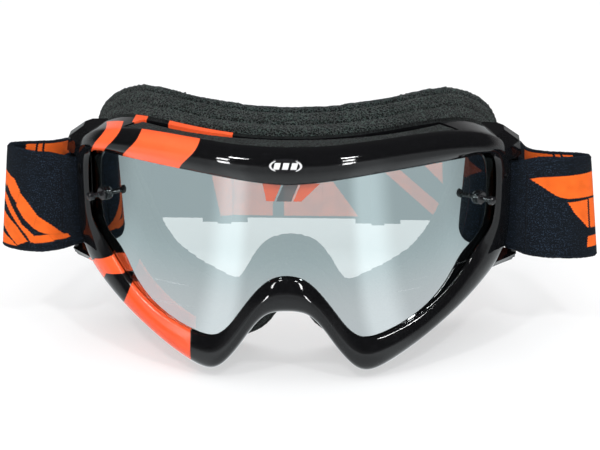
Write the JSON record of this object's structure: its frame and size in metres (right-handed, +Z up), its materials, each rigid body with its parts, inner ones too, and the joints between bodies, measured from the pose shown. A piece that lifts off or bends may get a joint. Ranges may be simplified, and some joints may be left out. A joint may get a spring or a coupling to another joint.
{
  "type": "motorcycle goggles",
  "caption": "Off-road goggles: moulded frame with a snap-in cylindrical mirror lens, layered face foam, vents, tear-off posts and a wide elastic strap with slide adjusters.",
  "frame": {"origin": "centre of the whole goggles' box, strap included, at rest", "axes": "+X across the face towards the wearer's left hand side of the front view (right in the front view), -Y the way the lens looks, +Z up"},
  "size_m": [0.237, 0.1435, 0.1018],
  "materials": {
    "frame_gloss": "high gloss black with orange printed stripes",
    "lens_mirror": "silver flash mirror, half see-through",
    "badge": "gloss black with three raised light bars",
    "post": "gloss black",
    "foam": "open-cell foam, dark grey",
    "lining": "brushed fleece on foam",
    "vent_foam": "coarse open-cell filter foam",
    "strap": "woven elastic, dark navy with orange jacquard stripes",
    "hardware": "moulded black acetal"
  },
  "bodies": {
    "goggle": {"frame": "frame_gloss", "lens": "lens_mirror", "brow_badge": "badge", "tear_off_post_right": "post", "tear_off_post_left": "post", "post_washer_right": "post", "post_washer_left": "post", "face_foam_base": "foam", "face_foam_mid": "foam", "face_foam_lining": "lining", "vent_foam_top": "vent_foam", "vent_foam_lower_right": "vent_foam", "vent_foam_lower_left": "vent_foam", "strap_anchor_right": "strap", "strap_anchor_left": "strap"},
    "strap": {"strap_front_right": "strap", "strap_front_left": "strap"},
    "strap_rear": {"strap_side_right": "strap", "strap_side_left": "strap", "strap_rear_web": "strap", "strap_ring_right": "hardware", "strap_ring_left": "hardware"},
    "adjuster_right": {"adjuster_right": "hardware"},
    "adjuster_left": {"adjuster_left": "hardware"}
  },
  "joints": [
    {"name": "strap_swing", "type": "hinge", "parent": "goggle", "child": "strap", "pos_m": [0, -0.00867, 0.00362], "axis": [1, 0, 0], "range_deg": [-40, 50]},
    {"name": "strap_stretch", "type": "slide", "parent": "strap", "child": "strap_rear", "axis": [0, 0.9848, -0.1736], "range_m": [0, 0.08], "stiffness_N_per_m": 120},
    {"name": "adjuster_slide_right", "type": "slide", "parent": "strap_rear", "child": "adjuster_right", "axis": [1, 0, 0], "range_m": [-0.018, 0.02]},
    {"name": "adjuster_slide_left", "type": "slide", "parent": "strap_rear", "child": "adjuster_left", "axis": [-1, 0, 0], "range_m": [-0.018, 0.02]}
  ]
}
